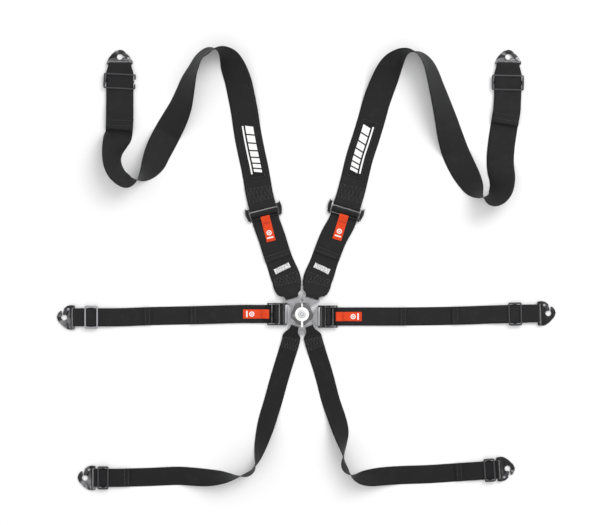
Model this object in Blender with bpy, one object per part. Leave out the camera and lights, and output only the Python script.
"""Six-point racing harness, laid out flat: rotary buckle, tongues, tilt-lock adjusters, webbing,
three-bar slides and snap hooks.

Metres, +Z up. The origin is the centre of the buckle's back face, which rests on the ground plane z = 0.
+X is the wearer's left lap strap in this layout, +Y runs towards the shoulder hooks.
"""

import math
from collections import namedtuple

import bmesh
import bpy
from mathutils import Matrix, Vector

MM = 0.001

# Webbing
WEB_THICK = 1.6 * MM
SHOULDER_WIDTH = 76 * MM
LAP_WIDTH = 51 * MM
CROTCH_WIDTH = 51 * MM
SPACING = 15 * MM  # between the cross-sections of a curved strap
STRAIGHT_SPACING = 45 * MM
LAYER_1 = 1.2 * MM  # height of the middle of a layer that lies on the ground
LAYER_2 = 3.2 * MM  # the same for a layer on top of another
SLIDE_LOWER = 4.3 * MM  # the two layers where they run through a three-bar slide
SLIDE_UPPER = 6.2 * MM
WRAP_STEPS = 6
GAP = 0.3 * MM
LOOP_LEAD = 2.0 * MM  # from a bar to the next cross-section of the webbing round it

# Bars that the webbing loops round: height of the axis, and radius of the middle of the webbing
LOOP_RADIUS = 3.7 * MM
TONGUE_BAR_Z = 7.0 * MM
PIVOT_BAR_Z = 4.9 * MM
HOOK_BAR_Z = 4.9 * MM
ROLLER_RADIUS = 4.0 * MM
ROLLER_WRAP = ROLLER_RADIUS + 0.4 * MM + WEB_THICK / 2
ROLLER_Z = LAYER_1 + ROLLER_WRAP

# Buckle
BASE_THICK = 3.0 * MM
HOUSING_FOOT = 3.3 * MM
HOUSING_SHOULDER = 16.5 * MM
HOUSING_TOP = 20.5 * MM
HOUSING_WALL = 2.5 * MM
HOUSING_ROOF = 2.5 * MM
HOUSING_CORNERS = [(17.5, 29.5), (31.5, -0.5), (29.5, -11.0), (8.0, -30.5)]  # right half, in mm
HOUSING_CORNER_RADIUS = 5.0 * MM
TONGUE_FOOT = 5.5 * MM
TONGUE_TOP = 8.5 * MM
TIP_REACH = 13.0 * MM  # distance of a locked tongue's tip from the buckle's centre
PIN_REACH = 17.0 * MM
SHOULDER_HEAD = 46 * MM  # lengths of the slotted heads and of the lap tongues' barrels
CROTCH_HEAD = 33 * MM
LAP_BARREL = 52 * MM
PIN_RADIUS = 2.2 * MM
LATCH_FOOT = 10.9 * MM
LATCH_THICK = 1.6 * MM
LATCH_RADIUS = 20.0 * MM
CAM_FOOT = 15.0 * MM
CAM_THICK = 2.2 * MM
SPINDLE_RADIUS = 3.5 * MM
KNOB_FOOT = 20.9 * MM
KNOB_TOP = 26.0 * MM
KNOB_RADIUS = 19.7 * MM
BADGE_RADIUS = 11.0 * MM

# Tongue headings are degrees from +X; half_width is the blade's.
Tongue = namedtuple("Tongue", "name heading offset half_width")
TONGUES = [
    Tongue("shoulder_tongue_left", 124.0, 0.0, 9 * MM),
    Tongue("shoulder_tongue_right", 56.0, 0.0, 9 * MM),
    Tongue("lap_tongue_left", 180.0, 0.0, 10 * MM),
    Tongue("lap_tongue_right", 0.0, -7 * MM, 10 * MM),
    Tongue("crotch_tongue", 270.0, 0.0, 9 * MM),
]

# Adjusters: pivot is the bar that the frame tilts about, heading points from it to the lip, and
# roller and lip are distances from the pivot.
Adjuster = namedtuple("Adjuster", "side kind pivot heading roller lip half_frame web_width")
ADJUSTERS = [
    Adjuster("left", "shoulder", (-0.1099, 0.2981), 284.1, 14 * MM, 27.5 * MM, 50 * MM, SHOULDER_WIDTH),
    Adjuster("right", "shoulder", (0.1255, 0.3014), 253.1, 14 * MM, 27.5 * MM, 50 * MM, SHOULDER_WIDTH),
    Adjuster("left", "lap", (-0.045, 0.0), 180.0, 25.5 * MM, 50 * MM, 31 * MM, LAP_WIDTH),
    Adjuster("right", "lap", (0.0475, -0.007), 0.0, 24.5 * MM, 50 * MM, 31 * MM, LAP_WIDTH),
]
LAP_PIVOT_Z = 7.0 * MM
PIVOT_RADIUS = 2.2 * MM
LIP_Z = 8.0 * MM
LIP_RADIUS = 1.8 * MM
EAR_THICK = 3.0 * MM
TAB_LENGTH = 70 * MM
TAB_WIDTH = 26 * MM
TAB_THICK = 1.2 * MM

# Strap ends: bar is the hook's webbing bar, heading points from it to the hook's nose, slide is how far
# behind the bar the three-bar slide sits, turn is the slide's own angle on the strap, and mouth is +1
# where the hook opens to the left of its heading.
End = namedtuple("End", "name kind bar heading slide turn mouth")
ENDS = [
    End("shoulder_left", "shoulder", (-0.510, 0.700), 90.0, 49 * MM, -3.0, -1),
    End("shoulder_right", "shoulder", (0.5765, 0.700), 89.0, 53 * MM, 0.0, -1),
    End("lap_left", "lap", (-0.637, -0.009), 180.0, 47.5 * MM, 0.0, -1),
    End("lap_right", "lap", (0.661, 0.002), 1.5, 65 * MM, 0.0, 1),
    End("crotch_left", "crotch", (-0.579, -0.458), 180.0, 22.5 * MM, 0.0, -1),
    End("crotch_right", "crotch", (0.547, -0.435), 4.0, 22.5 * MM, 0.0, -1),
]
WEB_WIDTH = {"shoulder": SHOULDER_WIDTH, "lap": LAP_WIDTH, "crotch": CROTCH_WIDTH}
LOOP_WIDTH = {"shoulder": 63 * MM, "lap": 50 * MM, "crotch": 50 * MM}  # of the webbing in the hook's slot
SLIDE_HALF = {"shoulder": 21.5 * MM, "lap": 18.8 * MM, "crotch": 15.5 * MM}
SLIDE_TRAVEL = 25 * MM
SLIDE_RAIL = 4 * MM
OPEN_SLIDES = {"shoulder_left"}  # these have one open side
SLIDE_SIDE_ROOM = 7 * MM  # from the webbing's edge to the outside of the slide
HOOK_THICK = 3.0 * MM
HOOK_FOOT = HOOK_BAR_Z - HOOK_THICK / 2
NOSE_FOOT = 0.3 * MM
EYE_RADIUS = 8.2 * MM
BEND_START = 8.0 * MM
BEND_END = 10.4 * MM

# Hook outlines in mm from the webbing bar: x to the nose, y to the side that the mouth is on
LONG_HOOK = [
    (-2, -34),
    (12, -35),
    (20.4, -33),
    (32, -25),
    (45, -11),
    (49, 0),
    (47, 8),
    (43.5, 13.5),
    (38, 19),
    (33.5, 15),
    (29.5, 24),
    (20.4, 31.5),
    (10, 34),
    (-2, 33),
]
LONG_EYE = (28.5, -0.5)
LONG_GATE = (16.9, 22.5)
SHORT_HOOK = [
    (-2, -36.5),
    (4, -36),
    (16.3, -31),
    (27.6, -21.6),
    (35.8, -12.4),
    (39.5, 0),
    (38.5, 7),
    (35, 12.5),
    (29.5, 17.5),
    (25.5, 13),
    (23.5, 21),
    (16.2, 30),
    (8, 36),
    (-2, 36.5),
]
SHORT_EYE = (19.7, 0)
SHORT_GATE = (14.9, 24.2)
GATE_THICK = 2.0 * MM
RIVET_RADIUS = 2.4 * MM

# Routes of the webbing's centreline: x, y, and the roll in degrees about the direction of travel.
# At 90 the band stands on its edge; at 180 its other face is up.
SHOULDER_LEFT_ROUTE = [
    (-0.1099, 0.2981, 0),
    (-0.1190, 0.3345, 0),
    (-0.1260, 0.375, 0),
    (-0.133, 0.413, 0),
    (-0.143, 0.459, 0),
    (-0.153, 0.512, 0),
    (-0.161, 0.566, -6),
    (-0.170, 0.613, -8),
    (-0.180, 0.656, -14),
    (-0.200, 0.705, -34),
    (-0.220, 0.729, -64),
    (-0.241, 0.739, -93),
    (-0.261, 0.735, -109),
    (-0.286, 0.717, -110),
    (-0.304, 0.683, -116),
    (-0.316, 0.654, -126),
    (-0.328, 0.613, -138),
    (-0.340, 0.577, -151),
    (-0.358, 0.540, -166),
    (-0.378, 0.504, -180),
    (-0.402, 0.454, -200),
    (-0.414, 0.423, -213),
    (-0.428, 0.398, -234),
    (-0.447, 0.378, -258),
    (-0.465, 0.370, -282),
    (-0.486, 0.369, -299),
    (-0.511, 0.386, -304),
    (-0.525, 0.409, -306),
    (-0.530, 0.433, -308),
    (-0.528, 0.456, -316),
    (-0.521, 0.480, -334),
    (-0.513, 0.504, -360),
    (-0.510, 0.545, -360),
    (-0.510, 0.700, -360),
]
SHOULDER_RIGHT_ROUTE = [
    (0.1255, 0.3014, 0),
    (0.1371, 0.3397, 0),
    (0.1460, 0.375, 0),
    (0.161, 0.437, 0),
    (0.179, 0.493, 0),
    (0.195, 0.546, 0),
    (0.210, 0.599, 4),
    (0.230, 0.652, 14),
    (0.249, 0.692, 32),
    (0.274, 0.720, 60),
    (0.297, 0.732, 84),
    (0.321, 0.729, 101),
    (0.342, 0.713, 112),
    (0.358, 0.686, 120),
    (0.375, 0.633, 129),
    (0.391, 0.580, 140),
    (0.403, 0.538, 151),
    (0.414, 0.498, 164),
    (0.427, 0.459, 178),
    (0.445, 0.417, 192),
    (0.465, 0.378, 210),
    (0.482, 0.347, 232),
    (0.497, 0.328, 262),
    (0.511, 0.321, 284),
    (0.524, 0.319, 298),
    (0.536, 0.323, 309),
    (0.549, 0.336, 320),
    (0.557, 0.354, 327),
    (0.559, 0.378, 336),
    (0.556, 0.403, 350),
    (0.555, 0.431, 360),
    (0.558, 0.473, 360),
    (0.565, 0.521, 360),
    (0.5738, 0.580, 360),
    (0.5765, 0.700, 360),
]
LOWER_LEFT_ROUTE = [
    (-0.029, 0.0485, 0),
    (-0.0325, 0.060, 0),
    (-0.0395, 0.078, 0),
    (-0.0442, 0.099, 0),
    (-0.0535, 0.123, 0),
    (-0.069, 0.165, 0),
    (-0.085, 0.216, 0),
    (-0.09918, 0.25542, 0),
    (-0.10649, 0.28452, 0),
]
LOWER_RIGHT_ROUTE = [
    (0.029, 0.0485, 0),
    (0.0325, 0.060, 0),
    (0.0395, 0.078, 0),
    (0.0442, 0.098, 0),
    (0.0535, 0.122, 0),
    (0.069, 0.165, 0),
    (0.088, 0.213, 0),
    (0.11271, 0.2593, 0),
    (0.12143, 0.2880, 0),
]
LAP_LEFT_ROUTE = [
    (-0.0705, 0.000, 0),
    (-0.112, 0.000, 0),
    (-0.174, 0.000, 0),
    (-0.286, -0.003, 0),
    (-0.426, -0.006, 0),
    (-0.510, -0.009, 0),
    (-0.637, -0.009, 0),
]
LAP_RIGHT_ROUTE = [
    (0.072, -0.007, 0),
    (0.112, -0.007, 0),
    (0.176, -0.007, 0),
    (0.274, -0.007, 0),
    (0.420, -0.005, 0),
    (0.541, -0.001, 0),
    (0.661, 0.002, 0),
]
CROTCH_LEFT_ROUTE = [
    (-0.021, -0.038, 0),
    (-0.0272, -0.055, 0),
    (-0.032, -0.078, 0),
    (-0.039, -0.101, 0),
    (-0.062, -0.176, 0),
    (-0.080, -0.241, 0),
    (-0.095, -0.291, 8),
    (-0.108, -0.337, 32),
    (-0.118, -0.375, 52),
    (-0.125, -0.404, 72),
    (-0.130, -0.422, 90),
    (-0.140, -0.439, 105),
    (-0.157, -0.449, 106),
    (-0.178, -0.453, 90),
    (-0.202, -0.455, 68),
    (-0.227, -0.456, 48),
    (-0.264, -0.457, 26),
    (-0.305, -0.455, 10),
    (-0.347, -0.453, 0),
    (-0.426, -0.456, 0),
    (-0.500, -0.458, 0),
    (-0.579, -0.458, 0),
]
CROTCH_RIGHT_ROUTE = [
    (0.021, -0.038, 0),
    (0.0272, -0.055, 0),
    (0.033, -0.078, 0),
    (0.040, -0.101, 0),
    (0.062, -0.172, 0),
    (0.080, -0.241, 0),
    (0.097, -0.291, -8),
    (0.108, -0.328, -28),
    (0.113, -0.363, -60),
    (0.115, -0.386, -80),
    (0.115, -0.402, -92),
    (0.117, -0.422, -107),
    (0.124, -0.438, -107),
    (0.136, -0.450, -92),
    (0.148, -0.455, -74),
    (0.164, -0.457, -52),
    (0.190, -0.457, -28),
    (0.227, -0.454, -10),
    (0.277, -0.451, 0),
    (0.358, -0.448, 0),
    (0.440, -0.4425, 0),
    (0.547, -0.435, 0),
]

# Finish: colour, roughness, metallic
WEBBING = ((0.035, 0.035, 0.038), 0.85, 0.0)
BLACK_STEEL = ((0.02, 0.02, 0.022), 0.35, 0.7)
BRIGHT_STEEL = ((0.45, 0.45, 0.47), 0.35, 1.0)
HOUSING_GREY = ((0.16, 0.16, 0.17), 0.45, 0.6)
KNOB_WHITE = ((0.85, 0.85, 0.85), 0.4, 0.0)
BADGE_GREY = ((0.60, 0.61, 0.62), 0.4, 0.0)
TAB_ORANGE = ((0.80, 0.08, 0.02), 0.7, 0.0)


# ---------------------------------------------------------------- scene and objects


def clear_scene():
    for item in list(bpy.data.objects):
        bpy.data.objects.remove(item)


def material(name, finish):
    colour, roughness, metallic = finish
    made = bpy.data.materials.new(name)
    made.use_nodes = True
    shader = made.node_tree.nodes["Principled BSDF"]
    shader.inputs["Base Color"].default_value = (*colour, 1.0)
    shader.inputs["Roughness"].default_value = roughness
    shader.inputs["Metallic"].default_value = metallic
    return made


def object_from(name, shape):
    """A linked object made from a bmesh, which is freed."""
    bmesh.ops.remove_doubles(shape, verts=shape.verts, dist=0.0005 * MM)
    bmesh.ops.recalc_face_normals(shape, faces=shape.faces)
    mesh = bpy.data.meshes.new(name)
    shape.to_mesh(mesh)
    shape.free()
    made = bpy.data.objects.new(name, mesh)
    bpy.context.scene.collection.objects.link(made)
    return made


def combine(target, other, operation):
    """Applies a Boolean of target with other, and removes other."""
    cut = target.modifiers.new("combine", "BOOLEAN")
    cut.operation = operation
    cut.solver = "EXACT"
    cut.object = other
    bpy.context.view_layer.update()
    evaluated = target.evaluated_get(bpy.context.evaluated_depsgraph_get())
    mesh = bpy.data.meshes.new_from_object(evaluated)
    target.modifiers.clear()
    target.data = mesh
    bpy.data.objects.remove(other)
    return target


def union(shapes):
    first, *rest = [object_from("shape", shape) for shape in shapes]
    for other in rest:
        combine(first, other, "UNION")
    return first


def cut(target, shapes):
    for shape in shapes:
        combine(target, object_from("cutter", shape), "DIFFERENCE")
    return target


def publish(item, name, finish, location=(0, 0, 0), heading=0.0):
    """Names a finished object, gives it its material, and stands it at its joint's axis."""
    item.name = name
    item.data.name = name
    item.data.materials.clear()
    item.data.materials.append(material(name + "_finish", finish))
    item.data.shade_smooth()
    item.data.set_sharp_from_angle(angle=math.radians(35))
    item.location = location
    item.rotation_euler = (0, 0, math.radians(heading))
    return item


# ---------------------------------------------------------------- basic shapes, as bmeshes


def prism(outline, low, high):
    """An outline of (x, y) points, extruded from z = low to z = high."""
    shape = bmesh.new()
    foot = [shape.verts.new((x, y, low)) for x, y in outline]
    top = [shape.verts.new((x, y, high)) for x, y in outline]
    shape.faces.new(foot)
    shape.faces.new(top)
    for i in range(len(outline)):
        j = (i + 1) % len(outline)
        shape.faces.new((foot[i], foot[j], top[j], top[i]))
    return shape


def side_prism(outline, low, high):
    """An outline of (x, z) points, extruded from y = low to y = high."""
    shape = prism(outline, low, high)
    for vert in shape.verts:
        x, z, y = vert.co
        vert.co = (x, y, z)
    return shape


def block(x, y, z):
    """A box between the two values of each of x, y and z."""
    outline = [(x[0], y[0]), (x[1], y[0]), (x[1], y[1]), (x[0], y[1])]
    return prism(outline, *z)


def disc(centre, radius, low, high, sides=32):
    turn = 2 * math.pi / sides
    outline = [
        (centre[0] + radius * math.cos(i * turn), centre[1] + radius * math.sin(i * turn)) for i in range(sides)
    ]
    return prism(outline, low, high)


def rod(x, z, radius, low, high, sides=12):
    """A round bar along y, from y = low to y = high."""
    turn = 2 * math.pi / sides
    outline = [(x + radius * math.cos((i + 0.5) * turn), z + radius * math.sin((i + 0.5) * turn)) for i in range(sides)]
    return side_prism(outline, low, high)


def rounded(corners, radius, steps=4):
    """The outline through the corners, each replaced by an arc. A corner may give its own radius."""
    outline = []
    count = len(corners)
    for i, corner in enumerate(corners):
        here = Vector(corner[:2])
        before = Vector(corners[i - 1][:2]) - here
        after = Vector(corners[(i + 1) % count][:2]) - here
        bend = corner[2] if len(corner) > 2 else radius
        half = before.angle(after) / 2
        reach = min(bend / math.tan(half), before.length * 0.49, after.length * 0.49)
        start = here + before.normalized() * reach
        end = here + after.normalized() * reach
        for k in range(steps + 1):
            t = k / steps
            point = start * (1 - t) ** 2 + here * 2 * t * (1 - t) + end * t**2
            outline.append((point.x, point.y))
    return outline


def scaled(outline, factor):
    return [(x * factor, y * factor) for x, y in outline]


def turned(shape, heading, location=(0, 0, 0)):
    """The shape turned about Z by heading degrees, then moved."""
    shape.transform(Matrix.Translation(location) @ Matrix.Rotation(math.radians(heading), 4, "Z"))
    return shape


def direction(heading):
    angle = math.radians(heading)
    return Vector((math.cos(angle), math.sin(angle), 0))


def left_of(forward):
    return Vector((-forward.y, forward.x, 0))


# ---------------------------------------------------------------- webbing

Station = namedtuple("Station", "place across")
Sample = namedtuple("Sample", "x y forward roll distance")


def blend_value(table, at):
    """Reads a table of (distance, value), with smooth steps between its rows."""
    if at <= table[0][0]:
        return table[0][1]
    for (d0, v0), (d1, v1) in zip(table, table[1:]):
        if at <= d1:
            t = (at - d0) / (d1 - d0)
            return v0 + (v1 - v0) * t * t * (3 - 2 * t)
    return table[-1][1]


def hermite(p0, p1, m0, m1, t):
    a = 2 * t**3 - 3 * t**2 + 1
    b = t**3 - 2 * t**2 + t
    c = -2 * t**3 + 3 * t**2
    d = t**3 - t**2
    return p0 * a + m0 * b + p1 * c + m1 * d


def sample_route(route, spacing):
    """Points every spacing or less along a smooth curve through the route, with the direction of travel."""
    points = [Vector(p) for p in route]
    chords = [(b.xy - a.xy).length for a, b in zip(points, points[1:])]
    slopes = []
    for i in range(len(points)):
        low, high = max(i - 1, 0), min(i + 1, len(points) - 1)
        slopes.append((points[high] - points[low]) / sum(chords[low:high]))
    places = []
    for i, chord in enumerate(chords):
        pieces = max(1, math.ceil(chord / spacing))
        for k in range(pieces):
            places.append(hermite(points[i], points[i + 1], slopes[i] * chord, slopes[i + 1] * chord, k / pieces))
    places.append(points[-1])
    samples, travelled = [], 0.0
    for i, place in enumerate(places):
        slope = slopes[0] if i == 0 else slopes[-1]
        if 0 < i < len(places) - 1:
            slope = places[i + 1] - places[i - 1]
        forward = Vector((slope.x, slope.y, 0)).normalized()
        if i:
            travelled += (place.xy - places[i - 1].xy).length
        samples.append(Sample(place.x, place.y, forward, math.radians(place.z), travelled))
    return samples


def between(samples, distance):
    """The sample at a distance along the route."""
    after = next((i for i, s in enumerate(samples) if s.distance >= distance), len(samples) - 1)
    a, b = samples[max(after - 1, 0)], samples[after]
    span = b.distance - a.distance
    t = (distance - a.distance) / span if span else 0.0
    mixed = [p * (1 - t) + q * t for p, q in zip(a, b)]
    return Sample(*mixed)._replace(forward=mixed[2].normalized())


def station(sample, width, height):
    """The band's cross-section at a sample; height is the middle of the band where it lies flat."""
    across = left_of(sample.forward) * math.cos(sample.roll) + Vector((0, 0, math.sin(sample.roll)))
    across = across * width
    return Station(Vector((sample.x, sample.y, height + abs(across.z) / 2)), across)


def wrap(bar, forward, across, height, radius, start, end):
    """Stations round a bar, from one angle to another in degrees; 0 is forward and 90 is up."""
    made = []
    for k in range(1, WRAP_STEPS):
        angle = math.radians(start + (end - start) * k / WRAP_STEPS)
        place = bar + forward * radius * math.cos(angle) + Vector((0, 0, height + radius * math.sin(angle)))
        made.append(Station(place, across))
    return made


def band(name, stations, thickness, finish):
    """A closed solid swept through the stations."""
    shape = bmesh.new()
    rings = []
    for i, here in enumerate(stations):
        low, high = stations[max(i - 1, 0)], stations[min(i + 1, len(stations) - 1)]
        along = (high.place - low.place).normalized()
        up = along.cross(here.across).normalized() * thickness / 2
        half = here.across / 2
        corners = (half + up, -half + up, -half - up, half - up)
        rings.append([shape.verts.new(here.place + corner) for corner in corners])
    for ring, after in zip(rings, rings[1:]):
        for k in range(4):
            m = (k + 1) % 4
            corners = [ring[k], ring[m], after[m], after[k]]
            if k == 2:
                corners = corners[1:] + corners[:1]  # so both faces are split along the same diagonal
            shape.faces.new(corners[:3])
            shape.faces.new((corners[0], corners[2], corners[3]))
    shape.faces.new(rings[0])
    shape.faces.new(rings[-1])
    return publish(object_from(name, shape), name, finish)


def reversed_samples(samples):
    """The samples from the far end, with distances measured from it."""
    total = samples[-1].distance
    return [s._replace(distance=total - s.distance) for s in reversed(samples)]


def stops(tables, start, end, spacing):
    """Distances for cross-sections: evenly between the rows of the tables, and closer on their slopes."""
    rows = {start, end}
    for table in tables:
        for (d0, v0), (d1, v1) in zip(table, table[1:]):
            rows |= {d0, d1}
            if v0 != v1:
                rows |= {(d0 + d1) / 2, d0 + (d1 - d0) / 4, d1 - (d1 - d0) / 4}
    rows = sorted(d for d in rows if start <= d <= end)
    kept = [start]
    for row in rows[1:]:
        if row - kept[-1] < 1.4 * MM:
            continue
        pieces = math.ceil((row - kept[-1]) / spacing - 0.01)
        kept += [kept[-1] + (row - kept[-1]) * k / pieces for k in range(1, pieces + 1)]
    return kept


def layer(samples, heights, widths, start, end, spacing):
    """Stations of one layer between two distances from a loop's bar."""
    made = []
    for distance in stops([heights, widths], start, end, spacing):
        here = between(samples, distance)
        made.append(station(here, blend_value(widths, distance), blend_value(heights, distance)))
    return made


def loop_at_start(samples, start, spacing):
    """The free layer, coming back towards the bar at the route's start, and the turn round the bar."""
    bar = Vector((samples[0].x, samples[0].y, 0))
    across = left_of(samples[0].forward) * blend_value(start.widths, 0)
    free = layer(samples, start.free, start.widths, LOOP_LEAD, start.free_length, spacing)
    free_top = start.free[0][1] > start.bar_z
    turn = (90, 270) if free_top else (270, 90)
    heights = (start.bar_z + start.radius, start.bar_z - start.radius)
    ends = [Station(bar + Vector((0, 0, z)), across) for z in (heights if free_top else reversed(heights))]
    turned_stations = wrap(bar, samples[0].forward, across, start.bar_z, start.radius, *turn)
    return [*reversed(free), ends[0], *turned_stations, ends[1]]


def loop_at_end(samples, widths, bar_z, radius, heights, length, spacing):
    """The turn up round the bar at the route's end, and the free layer going back on top."""
    back = reversed_samples(samples)
    bar = Vector((back[0].x, back[0].y, 0))
    forward = samples[-1].forward
    across = left_of(forward) * blend_value(widths, 0)
    free = layer(back, heights, widths, LOOP_LEAD, length, spacing)
    ends = [Station(bar + Vector((0, 0, z)), across) for z in (bar_z - radius, bar_z + radius)]
    return [ends[0], *wrap(bar, forward, across, bar_z, radius, -90, 90), ends[1], *free]


# Heights of the middle of the webbing at distances from a bar, in mm
SEWN_TOP = [(0, 8.6), (30, 3.4), (60, 3.2), (85, 1.2)]
SEWN_FOOT = [(0, 1.2), (60, 1.2)]
TONGUE_TOP_LAYER = [(0, 10.7), (35, 3.4), (62, 3.2), (85, 1.2)]
TONGUE_FOOT_LAYER = [(0, 3.3), (20, 1.2), (60, 1.2)]
SHOULDER_GATHER = [(0, 37), (4, 40), (12, 63), (24, 75), (36, 80), (62, 81), (110, 76)]
CROTCH_GATHER = [(0, 23), (4, 24), (28, 51)]
ROLLER_TAIL = [(0, 11.5), (3.6, 10.6), (11.5, 3.2), (200, 3.2)]
ROLLER_FOOT = [(0, 1.2), (200, 1.2)]


def in_metres(table):
    return [(distance * MM, value * MM) for distance, value in table]


def slide_reach(end):
    """Where the slide starts and where its travel ends, as distances from the hook's bar."""
    half = SLIDE_HALF[end.kind]
    return end.slide - half, end.slide + half + SLIDE_TRAVEL + 3 * MM


def end_heights(end):
    """Heights of the lower and upper layer at distances from a hook's bar."""
    near, far = slide_reach(end)
    near -= 1.5 * MM
    lower = [(0, HOOK_BAR_Z - LOOP_RADIUS), (near, SLIDE_LOWER), (far, SLIDE_LOWER), (far + 35 * MM, LAYER_1)]
    upper = [(0, HOOK_BAR_Z + LOOP_RADIUS), (near, SLIDE_UPPER), (far, SLIDE_UPPER), (far + 35 * MM, LAYER_2)]
    return lower, upper


def end_widths(end):
    near, _ = slide_reach(end)
    return [(0, LOOP_WIDTH[end.kind]), (max(near, 14 * MM), WEB_WIDTH[end.kind]), (10.0, WEB_WIDTH[end.kind])]


def tail_fold(stations, radius, length):
    """Turns the free end of a top layer down and back under itself."""
    last, before = stations[-1], stations[-2]
    forward = Vector((last.place.x - before.place.x, last.place.y - before.place.y, 0)).normalized()
    middle = last.place - Vector((0, 0, radius))
    made = []
    for k in range(1, WRAP_STEPS + 1):
        angle = math.radians(90 - 180 * k / WRAP_STEPS)
        offset = forward * math.cos(angle) + Vector((0, 0, math.sin(angle)))
        made.append(Station(middle + offset * radius, last.across))
    made.append(Station(made[-1].place - forward * length, last.across))
    return made


def raised_tail(upper, rise, end):
    """The upper layer's heights, standing up in a slack loop once they are past the slide."""
    past = upper[2]
    return [*upper[:3], ((past[0] + end) / 2, rise), (end, rise)]


def from_start(table, total):
    """A table of distances from the route's end, as distances from its start."""
    return [(total - distance, value) for distance, value in reversed(table) if distance < total]


def long_strap(name, route, start, end, tail, spacing):
    """Webbing from an adjuster or a tongue to a hook, with its tail back through the slide."""
    samples = sample_route(route, 8 * MM)
    total = samples[-1].distance
    lower, upper = end_heights(end)
    heights = [*start.main, *from_start(lower, total)]
    widths = [*start.widths, *from_start(end_widths(end), total)]
    stations = loop_at_start(samples, start, spacing)
    stations += layer(samples, heights, widths, LOOP_LEAD, total - LOOP_LEAD, spacing)
    folded = end.kind == "shoulder"
    if folded:
        upper = raised_tail(upper, 10.6 * MM, tail)
    stations += loop_at_end(samples, end_widths(end), HOOK_BAR_Z, LOOP_RADIUS, upper, tail, spacing)
    if folded:
        stations += tail_fold(stations, 2.9 * MM, 30 * MM)
    return band(name, stations, WEB_THICK, WEBBING)


# The start of a strap: widths and heights of the main layer and of the free one
Start = namedtuple("Start", "widths main free free_length bar_z radius")


def sewn_to_adjuster(width):
    """A strap sewn round an adjuster's pivot bar."""
    return Start([(0, width)], in_metres(SEWN_TOP), in_metres(SEWN_FOOT), 60 * MM, PIVOT_BAR_Z, LOOP_RADIUS)


def sewn_to_tongue(widths):
    """A strap sewn round a tongue's bar, and gathered there."""
    main, free = in_metres(TONGUE_TOP_LAYER), in_metres(TONGUE_FOOT_LAYER)
    return Start(widths, main, free, 60 * MM, TONGUE_BAR_Z, LOOP_RADIUS)


def round_roller(width, tail):
    """A strap that turns round an adjuster's roller, with its tail on top."""
    return Start([(0, width)], in_metres(ROLLER_FOOT), in_metres(ROLLER_TAIL), tail, ROLLER_Z, ROLLER_WRAP)


def lower_strap(name, route):
    """Webbing sewn to a shoulder tongue, up round the adjuster's roller, with its pull tail back on top."""
    samples = sample_route(route, 8 * MM)
    total = samples[-1].distance
    start = sewn_to_tongue(in_metres(SHOULDER_GATHER))
    stations = loop_at_start(samples, start, SPACING)
    stations += layer(samples, start.main, start.widths, LOOP_LEAD, total - LOOP_LEAD, SPACING)
    full = [(0, SHOULDER_WIDTH)]
    tail = in_metres(ROLLER_TAIL)
    stations += loop_at_end(samples, full, ROLLER_Z, ROLLER_WRAP, tail, 136 * MM, SPACING)
    return band(name, stations, WEB_THICK, WEBBING)


def make_webbing():
    ends = {end.name: end for end in ENDS}
    sewn = sewn_to_adjuster(SHOULDER_WIDTH)
    long_strap("shoulder_strap_left", SHOULDER_LEFT_ROUTE, sewn, ends["shoulder_left"], 182 * MM, SPACING)
    long_strap("shoulder_strap_right", SHOULDER_RIGHT_ROUTE, sewn, ends["shoulder_right"], 166 * MM, SPACING)
    lower_strap("lower_strap_left", LOWER_LEFT_ROUTE)
    lower_strap("lower_strap_right", LOWER_RIGHT_ROUTE)
    left, right = round_roller(LAP_WIDTH, 243 * MM), round_roller(LAP_WIDTH, 221 * MM)
    long_strap("lap_strap_left", LAP_LEFT_ROUTE, left, ends["lap_left"], 214 * MM, STRAIGHT_SPACING)
    long_strap("lap_strap_right", LAP_RIGHT_ROUTE, right, ends["lap_right"], 241 * MM, STRAIGHT_SPACING)
    sewn = sewn_to_tongue(in_metres(CROTCH_GATHER))
    long_strap("crotch_strap_left", CROTCH_LEFT_ROUTE, sewn, ends["crotch_left"], 98 * MM, SPACING)
    long_strap("crotch_strap_right", CROTCH_RIGHT_ROUTE, sewn, ends["crotch_right"], 117 * MM, SPACING)


# ---------------------------------------------------------------- buckle


def housing_outline(inset=0.0):
    right = [(x * MM, y * MM) for x, y in HOUSING_CORNERS]
    corners = right + [(-x, y) for x, y in reversed(right)]
    outline = rounded(corners, HOUSING_CORNER_RADIUS)
    widest = max(Vector(point).length for point in outline)
    return scaled(outline, 1 - inset / widest)


def loft(outlines):
    """A closed solid through (outline, z) levels that have the same number of points."""
    shape = bmesh.new()
    rings = [[shape.verts.new((x, y, z)) for x, y in outline] for outline, z in outlines]
    for ring, above in zip(rings, rings[1:]):
        for i in range(len(ring)):
            j = (i + 1) % len(ring)
            shape.faces.new((ring[i], ring[j], above[j], above[i]))
    shape.faces.new(rings[0])
    shape.faces.new(rings[-1])
    return shape


def make_housing():
    shell = loft([
        (housing_outline(), HOUSING_FOOT),
        (housing_outline(), HOUSING_SHOULDER),
        (housing_outline(1.4 * MM), HOUSING_TOP - 1.6 * MM),
        (housing_outline(4.5 * MM), HOUSING_TOP),
    ])
    body = object_from("housing", shell)
    cavity = prism(housing_outline(HOUSING_WALL), 0, HOUSING_TOP - HOUSING_ROOF)
    ports = []
    for tongue in TONGUES:
        half = tongue.half_width + 0.8 * MM
        port = block((12 * MM, 50 * MM), (-half, half), (TONGUE_FOOT - 0.7 * MM, TONGUE_TOP + 0.7 * MM))
        ports.append(turned(port, tongue.heading, left_of(direction(tongue.heading)) * tongue_offset(tongue)))
    spindle_hole = disc((0, 0), 5.5 * MM, HOUSING_TOP - HOUSING_ROOF - MM, HOUSING_TOP + MM, 24)
    cut(body, [cavity, *ports, spindle_hole])
    publish(body, "buckle_housing", HOUSING_GREY)


def tongue_offset(tongue):
    """A tongue's offset to the left of its heading; the record of offsets is along +Y."""
    return tongue.offset * math.cos(math.radians(tongue.heading))


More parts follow.
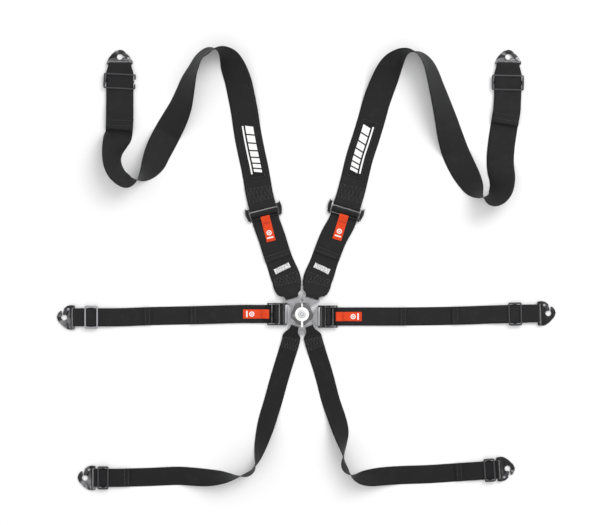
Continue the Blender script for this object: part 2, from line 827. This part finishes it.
def make_buckle_base():
    base = prism(housing_outline(), 0, BASE_THICK)
    publish(object_from("base", base), "buckle_base", BLACK_STEEL)


def make_spindle():
    foot = disc((0, 0), 7 * MM, BASE_THICK + GAP, BASE_THICK + GAP + 1.4 * MM, 24)
    post = disc((0, 0), SPINDLE_RADIUS, BASE_THICK + 0.6 * MM, KNOB_FOOT + 2.6 * MM, 24)
    publish(union([foot, post]), "spindle", BRIGHT_STEEL)


def make_latch_plate():
    plate = object_from("latch", disc((0, 0), LATCH_RADIUS, LATCH_FOOT, LATCH_FOOT + LATCH_THICK, 40))
    for tongue in TONGUES:
        place = pin_place(tongue)
        pin = disc(place, PIN_RADIUS, TONGUE_TOP + 0.4 * MM, LATCH_FOOT + 0.8 * MM, 16)
        combine(plate, object_from("pin", pin), "UNION")
    cut(plate, [disc((0, 0), 6 * MM, 0, HOUSING_TOP, 24)])
    publish(plate, "latch_plate", BRIGHT_STEEL)


def pin_place(tongue):
    place = direction(tongue.heading) * PIN_REACH + Vector((0, tongue.offset, 0))
    return (place.x, place.y)


def make_latch_spring():
    """A three-wave washer between the latch plate and the housing's roof."""
    shape = bmesh.new()
    steps, waves = 48, 3
    inner, outer, thick = 13.5 * MM, 17.5 * MM, 0.4 * MM
    middle, swing = 15.2 * MM, 1.9 * MM
    rings = []
    for i in range(steps):
        angle = 2 * math.pi * i / steps
        z = middle + swing * math.cos(waves * angle)
        ring = []
        for radius, offset in ((inner, -thick), (outer, -thick), (outer, thick), (inner, thick)):
            ring.append(shape.verts.new((radius * math.cos(angle), radius * math.sin(angle), z + offset)))
        rings.append(ring)
    for i in range(steps):
        after = rings[(i + 1) % steps]
        for k in range(4):
            m = (k + 1) % 4
            shape.faces.new((rings[i][k], rings[i][m], after[m], after[k]))
    publish(object_from("spring", shape), "latch_spring", BRIGHT_STEEL)


def make_release_cam():
    steps, lobes = 60, 5
    outline = []
    for i in range(steps):
        angle = 2 * math.pi * i / steps
        radius = (9.5 + 1.3 * math.cos(lobes * angle)) * MM
        outline.append((radius * math.cos(angle), radius * math.sin(angle)))
    cam = object_from("cam", prism(outline, CAM_FOOT, CAM_FOOT + CAM_THICK))
    cut(cam, [disc((0, 0), SPINDLE_RADIUS + GAP, 0, HOUSING_TOP, 24)])
    publish(cam, "release_cam", BRIGHT_STEEL)


def make_release_knob():
    """A disc with a grip arm up and a wider one down."""
    face = disc((0, 0), KNOB_RADIUS, KNOB_FOOT, KNOB_TOP, 48)
    arm_up = prism([(-2.3 * MM, 0), (2.3 * MM, 0), (1.9 * MM, 30 * MM), (-1.9 * MM, 30 * MM)], KNOB_FOOT, KNOB_TOP + MM)
    arm_down = prism(
        [(-2.6 * MM, 0), (-3.2 * MM, -36 * MM), (3.2 * MM, -36 * MM), (2.6 * MM, 0)], KNOB_FOOT, KNOB_TOP + MM
    )
    knob = union([face, arm_up, arm_down])
    recess = disc((0, 0), BADGE_RADIUS + GAP, KNOB_TOP - 0.8 * MM, KNOB_TOP + 2 * MM, 36)
    bore = disc((0, 0), SPINDLE_RADIUS + GAP, KNOB_FOOT - MM, KNOB_FOOT + 3 * MM, 24)
    cut(knob, [recess, bore])
    publish(knob, "release_knob", KNOB_WHITE)


def make_knob_badge():
    badge = disc((0, 0), BADGE_RADIUS, KNOB_TOP - 0.5 * MM, KNOB_TOP + 0.6 * MM, 36)
    publish(object_from("badge", badge), "knob_badge", BADGE_GREY)


# ---------------------------------------------------------------- tongues


def blade(tongue, reach):
    """The blade along +X from its tip, with its latch hole still to cut."""
    tip, full = 5 * MM, tongue.half_width
    outline = [
        (TIP_REACH, -tip),
        (TIP_REACH + 9 * MM, -full),
        (reach, -full),
        (reach, full),
        (TIP_REACH + 9 * MM, full),
        (TIP_REACH, tip),
    ]
    return prism(outline, TONGUE_FOOT, TONGUE_TOP)


def latch_hole(tongue):
    return disc((PIN_REACH, 0), PIN_RADIUS + MM, TONGUE_FOOT - MM, TONGUE_TOP + MM, 16)


def webbing_head(half, centre, heading):
    """A plate round the bar that webbing is sewn round; the bar is at centre and square to the heading."""
    outline = [(-9.5 * MM, -half), (2 * MM, -half), (2 * MM, half), (-9.5 * MM, half)]
    return turned(prism(rounded(outline, 2 * MM), TONGUE_FOOT, TONGUE_TOP), heading, centre)


def webbing_slot(half, centre, heading):
    slot = block((-7.5 * MM, -2 * MM), (-half + 3.5 * MM, half - 3.5 * MM), (0, 20 * MM))
    return turned(slot, heading, centre)


def make_shoulder_tongue(tongue, route, heading):
    """A blade that flares into a slotted head square to the strap."""
    bar = Vector((*route[0][:2], 0))
    side = left_of(direction(heading))
    half = SHOULDER_HEAD / 2
    neck = direction(tongue.heading) * 36 * MM
    across = left_of(direction(tongue.heading)) * tongue.half_width
    back = bar - direction(heading) * 7.5 * MM
    flare = [neck - across, back - side * half, back + side * half, neck + across]
    body = union([
        turned(blade(tongue, 38 * MM), tongue.heading),
        prism([point.xy for point in flare], TONGUE_FOOT, TONGUE_TOP),
        webbing_head(half, bar, heading),
        shoulder_web(1 if bar.x > 0 else -1),
    ])
    hole = disc((0, 38.5 * MM), 4.5 * MM, TONGUE_FOOT - MM, TONGUE_TOP + MM, 24)
    cut(body, [webbing_slot(half, bar, heading), turned(latch_hole(tongue), tongue.heading), hole])
    publish(body, tongue.name, BRIGHT_STEEL)


def shoulder_web(side):
    """The plate that fills in between the blade and the head, up to the other shoulder tongue."""
    outline = [(0.7, 31.5), (11, 31.5), (16, 40), (8, 54), (0.7, 52)]
    corners = [(side * x * MM, y * MM) for x, y in outline]
    return prism(corners if side > 0 else corners[::-1], TONGUE_FOOT, TONGUE_TOP)


def make_lap_tongue(tongue, adjuster):
    """A blade that flares out to a barrel, which the adjuster's pivot bar turns in."""
    reach = abs(adjuster.pivot[0])
    half = LAP_BARREL / 2
    flare = [(31 * MM, -10 * MM), (reach - 7 * MM, -half), (reach, -half), (reach, half), (reach - 7 * MM, half)]
    body = union([
        blade(tongue, 33 * MM),
        prism([*flare, (31 * MM, 10 * MM)], TONGUE_FOOT, TONGUE_TOP),
        rod(reach, LAP_PIVOT_Z, PIVOT_RADIUS + 2 * MM, -half, half, 16),
    ])
    bore = rod(reach, LAP_PIVOT_Z, PIVOT_RADIUS + 0.4 * MM, -half - MM, half + MM, 16)
    cut(body, [bore, latch_hole(tongue)])
    body.data.transform(Matrix.Rotation(math.radians(tongue.heading), 4, "Z"))
    publish(body, tongue.name, BRIGHT_STEEL, (0, tongue.offset, 0))


def make_crotch_tongue(tongue):
    """A blade with two slotted heads, one for each crotch strap."""
    shapes = [turned(blade(tongue, 42 * MM), tongue.heading)]
    cutters = [turned(latch_hole(tongue), tongue.heading)]
    half = CROTCH_HEAD / 2
    for side, route in ((-1, CROTCH_LEFT_ROUTE), (1, CROTCH_RIGHT_ROUTE)):
        bar = Vector((*route[0][:2], 0))
        shapes.append(webbing_head(half, bar, 270 + side * 20))
        cutters.append(webbing_slot(half, bar, 270 + side * 20))
    body = union(shapes)
    cut(body, cutters)
    publish(body, tongue.name, BRIGHT_STEEL)


def make_crotch_spacer():
    """A bow-tie clip that keeps the two crotch straps apart."""
    wide, waist, half = 6.5 * MM, 2.6 * MM, 4.5 * MM
    outline = [(-wide, -half), (0, -waist), (wide, -half), (wide, half), (0, waist), (-wide, half)]
    clip = prism(outline, 5.5 * MM, 8.5 * MM)
    publish(turned_object(clip, (0, -0.0515, 0)), "crotch_spacer", BRIGHT_STEEL)


def turned_object(shape, location):
    return object_from("shape", turned(shape, 0, location))


# ---------------------------------------------------------------- adjusters


def adjuster_name(adjuster, part):
    return f"{adjuster.kind}_{part}_{adjuster.side}"


def make_adjuster_frame(adjuster):
    """Two ears joined by the pivot bar and by the lip that the pull tab lifts. +X runs from pivot to lip."""
    lap = adjuster.kind == "lap"
    pivot_z = LAP_PIVOT_Z if lap else PIVOT_BAR_Z
    half = adjuster.half_frame
    ear_foot = 1.0 * MM
    ear = [
        (-3 * MM, pivot_z - 2.5 * MM),
        (2 * MM, ear_foot + MM),
        (adjuster.roller, ear_foot),
        (adjuster.lip, LIP_Z - 3 * MM),
        (adjuster.lip + 2.4 * MM, LIP_Z),
        (adjuster.lip, LIP_Z + 2.6 * MM),
        (adjuster.roller, 12.2 * MM),
        (-1 * MM, pivot_z + 3.4 * MM),
        (-3.2 * MM, pivot_z + 1.5 * MM),
    ]
    inner = half - EAR_THICK if lap else adjuster.web_width / 2 + 1.5 * MM
    shapes = [rod(0, pivot_z, PIVOT_RADIUS, -half + MM, half - MM)]
    for side in (-1, 1):
        low, high = sorted((side * inner, side * (inner + EAR_THICK)))
        shapes.append(side_prism(ear, low, high))
        if not lap:
            shapes.append(turned(hooked_ear(inner, half, side), 0))
    if lap:
        shapes.append(block((6 * MM, 17 * MM), (-half + MM, half - MM), (2 * MM, 3.6 * MM)))
    shapes.append(rod(adjuster.lip, LIP_Z, LIP_RADIUS, -half + MM, half - MM))
    if lap:
        for at in (7 * MM, 39 * MM):
            shapes.append(block((at - 1.6 * MM, at + 1.6 * MM), (-inner - MM, inner + MM), (9.2 * MM, 11.6 * MM)))
    frame = union(shapes)
    publish(frame, adjuster_name(adjuster, "adjuster"), BLACK_STEEL, (*adjuster.pivot, 0), adjuster.heading)


def hooked_ear(inner, half, side):
    """The flat outer part of an ear, with a horn that guides the webbing."""
    outline = [
        (-1.5 * MM, inner + MM),
        (-4 * MM, half - 3 * MM),
        (-9 * MM, half),
        (-2 * MM, half + MM),
        (10 * MM, half + 2.5 * MM),
        (24 * MM, half - MM),
        (33 * MM, inner + 4 * MM),
        (34 * MM, inner + MM),
    ]
    outline = [(x, side * y) for x, y in outline]
    return prism(rounded(outline, 2 * MM, 3), 4.3 * MM, 6.9 * MM)


def make_roller(adjuster):
    half = adjuster.web_width / 2 + MM
    length = half if adjuster.kind == "shoulder" else half + 0.5 * MM
    roller = rod(0, 0, ROLLER_RADIUS, -length, length, 16)
    place = Vector((*adjuster.pivot, ROLLER_Z)) + direction(adjuster.heading) * adjuster.roller
    publish(object_from("roller", roller), adjuster_name(adjuster, "roller"), BLACK_STEEL, place, adjuster.heading)


def make_pull_tab(adjuster):
    """A webbing tab sewn round the lip, lying out along the tail. Its origin is on the lip's axis."""
    radius = LIP_RADIUS + GAP + TAB_THICK / 2
    across = Vector((0, TAB_WIDTH, 0))
    foot = LAYER_2 + WEB_THICK / 2 + 0.6 * MM + TAB_THICK / 2 - LIP_Z
    stations = [Station(Vector((16 * MM, 0, foot + TAB_THICK + 0.5 * MM)), across)]
    stations.append(Station(Vector((9 * MM, 0, radius * 0.55)), across))
    for angle in (80, 110, 145, 180, 215, 250, 280):
        turn = math.radians(angle)
        stations.append(Station(Vector((radius * math.cos(turn), 0, radius * math.sin(turn))), across))
    for along in (8, 16, 30, 50):
        stations.append(Station(Vector((along * MM, 0, foot)), across))
    stations.append(Station(Vector((TAB_LENGTH, 0, foot)), across))
    tab = band("tab", stations, TAB_THICK, TAB_ORANGE)
    place = Vector((*adjuster.pivot, LIP_Z)) + direction(adjuster.heading) * adjuster.lip
    publish(tab, adjuster_name(adjuster, "tab"), TAB_ORANGE, place, adjuster.heading)


# ---------------------------------------------------------------- strap ends


def make_slide(end):
    """A three-bar slide: the webbing runs over its middle bar and under its two outer ones."""
    half_u = SLIDE_HALF[end.kind]
    half_v = WEB_WIDTH[end.kind] / 2 + SLIDE_SIDE_ROOM
    window_v = WEB_WIDTH[end.kind] / 2 + 2 * MM
    window_u = half_u - SLIDE_RAIL
    top_foot, top = SLIDE_UPPER + WEB_THICK / 2 + GAP, 10.3 * MM
    rim = rounded([(-half_u, -half_v), (half_u, -half_v), (half_u, half_v), (-half_u, half_v)], 5 * MM)
    frame = object_from("slide", prism(rim, top_foot, top))
    cut(frame, [block((-window_u, window_u), (-window_v, window_v), (0, 20 * MM))])
    sides = (1,) if end.name in OPEN_SLIDES else (-1, 1)
    if end.name in OPEN_SLIDES:
        cut(frame, [block((-6.5 * MM, 6.5 * MM), (-half_v - MM, -window_v + MM), (0, 20 * MM))])
    bar_top = SLIDE_LOWER - WEB_THICK / 2 - GAP
    reach = half_v - MM
    bar = block((-3 * MM, 3 * MM), (-reach if len(sides) == 2 else -window_v, reach), (NOSE_FOOT, bar_top))
    combine(frame, object_from("bar", bar), "UNION")
    for side in sides:
        low, high = sorted((side * (window_v - 0.6 * MM), side * reach))
        leg = block((-6 * MM, 6 * MM), (low, high), (NOSE_FOOT + 0.2 * MM, top - 0.4 * MM))
        combine(frame, object_from("leg", leg), "UNION")
    frame.data.transform(Matrix.Rotation(math.radians(end.turn), 4, "Z"))
    place = Vector((*end.bar, 0)) - direction(end.heading) * end.slide
    publish(frame, end.name + "_slide", BLACK_STEEL, place, end.heading)


def hook_shape(end):
    """The hook's outline, the centre of its eye and its gate's pivot, in mm in the hook's own axes."""
    short = end.kind == "shoulder"
    outline, eye, pivot = (SHORT_HOOK, SHORT_EYE, SHORT_GATE) if short else (LONG_HOOK, LONG_EYE, LONG_GATE)
    return [(x, end.mouth * y) for x, y in outline], (eye[0], end.mouth * eye[1]), (pivot[0], end.mouth * pivot[1])


def joggle(item, start, end, drop):
    """Steps the plate down by drop between two distances along +X."""
    shape = bmesh.new()
    shape.from_mesh(item.data)
    for at in (start, end):
        parts = [*shape.verts, *shape.edges, *shape.faces]
        bmesh.ops.bisect_plane(shape, geom=parts, dist=1e-7, plane_co=(at, 0, 0), plane_no=(1, 0, 0))
    for vert in shape.verts:
        share = min(1.0, max(0.0, (vert.co.x - start) / (end - start)))
        vert.co.z -= drop * share
    bmesh.ops.triangulate(shape, faces=shape.faces)
    shape.to_mesh(item.data)
    shape.free()
    return item


def make_hook(end):
    """A stepped plate: a bar and slot for the webbing, and an eye whose side mouth the gate closes."""
    outline, (x, y), _ = hook_shape(end)
    plate = object_from("hook", prism(scaled(rounded(outline, 3.5, 3), MM), HOOK_FOOT, HOOK_FOOT + HOOK_THICK))
    slot_half = LOOP_WIDTH[end.kind] / 2 + 1.5 * MM
    slot = block((2 * MM, 7.4 * MM), (-slot_half, slot_half), (0, 20 * MM))
    eye = disc((x * MM, y * MM), EYE_RADIUS, 0, 20 * MM, 28)
    reach = 1.0 if end.kind == "lap" or end.kind == "crotch" else 0.8
    mouth = [(x - 5, 0), (x + 5, 0), (x + 7, 18), (x + 7, 26), (x + 1, 26), (x - 2, 15 * reach)]
    mouth = [(a, y + end.mouth * b) for a, b in mouth]
    cut(plate, [slot, eye, prism(scaled(mouth, MM), 0, 20 * MM)])
    joggle(plate, BEND_START, BEND_END, HOOK_FOOT - NOSE_FOOT)
    plate.data.transform(Matrix.Translation((0, 0, -HOOK_BAR_Z)))
    publish(plate, end.name + "_hook", BLACK_STEEL, (*end.bar, HOOK_BAR_Z), end.heading)


def gate_place(end):
    """The gate's rivet, on top of the hook's stepped-down plate."""
    _, _, (x, y) = hook_shape(end)
    forward = direction(end.heading)
    place = forward * x * MM + left_of(forward) * y * MM
    return place + Vector((*end.bar, NOSE_FOOT + HOOK_THICK + GAP))


def make_gate(end):
    """The sprung gate that lies over the mouth. Its origin is on its rivet's axis."""
    outline = rounded([(-4.1, -2), (0, -4.4), (9, -17), (15.5, -15.5), (13, -4), (4.5, 4), (-3, 4.1)], 2.5, 4)
    outline = scaled([(x, end.mouth * y) for x, y in outline], MM)
    gate = object_from("gate", prism(outline, 0, GATE_THICK))
    cut(gate, [disc((0, 0), RIVET_RADIUS + 0.15 * MM, -MM, 5 * MM, 16)])
    publish(gate, end.name + "_gate", BLACK_STEEL, gate_place(end), end.heading)


def make_rivet(end):
    """The gate's rivet: its head lies above the gate and its shank ends on the plate."""
    shank = disc((0, 0), RIVET_RADIUS, 0, GATE_THICK + 0.6 * MM, 16)
    head = disc((0, 0), RIVET_RADIUS + 1.2 * MM, GATE_THICK + GAP, GATE_THICK + 1.5 * MM, 16)
    publish(union([shank, head]), end.name + "_gate_rivet", BRIGHT_STEEL, gate_place(end), end.heading)


def main():
    clear_scene()
    make_buckle_base()
    make_housing()
    make_spindle()
    make_latch_plate()
    make_latch_spring()
    make_release_cam()
    make_release_knob()
    make_knob_badge()
    tongues = {tongue.name: tongue for tongue in TONGUES}
    make_shoulder_tongue(tongues["shoulder_tongue_left"], LOWER_LEFT_ROUTE, 106.5)
    make_shoulder_tongue(tongues["shoulder_tongue_right"], LOWER_RIGHT_ROUTE, 73.5)
    make_lap_tongue(tongues["lap_tongue_left"], ADJUSTERS[2])
    make_lap_tongue(tongues["lap_tongue_right"], ADJUSTERS[3])
    make_crotch_tongue(tongues["crotch_tongue"])
    make_crotch_spacer()
    for adjuster in ADJUSTERS:
        make_adjuster_frame(adjuster)
        make_roller(adjuster)
        make_pull_tab(adjuster)
    for end in ENDS:
        make_slide(end)
        make_hook(end)
        make_gate(end)
        make_rivet(end)
    make_webbing()


main()
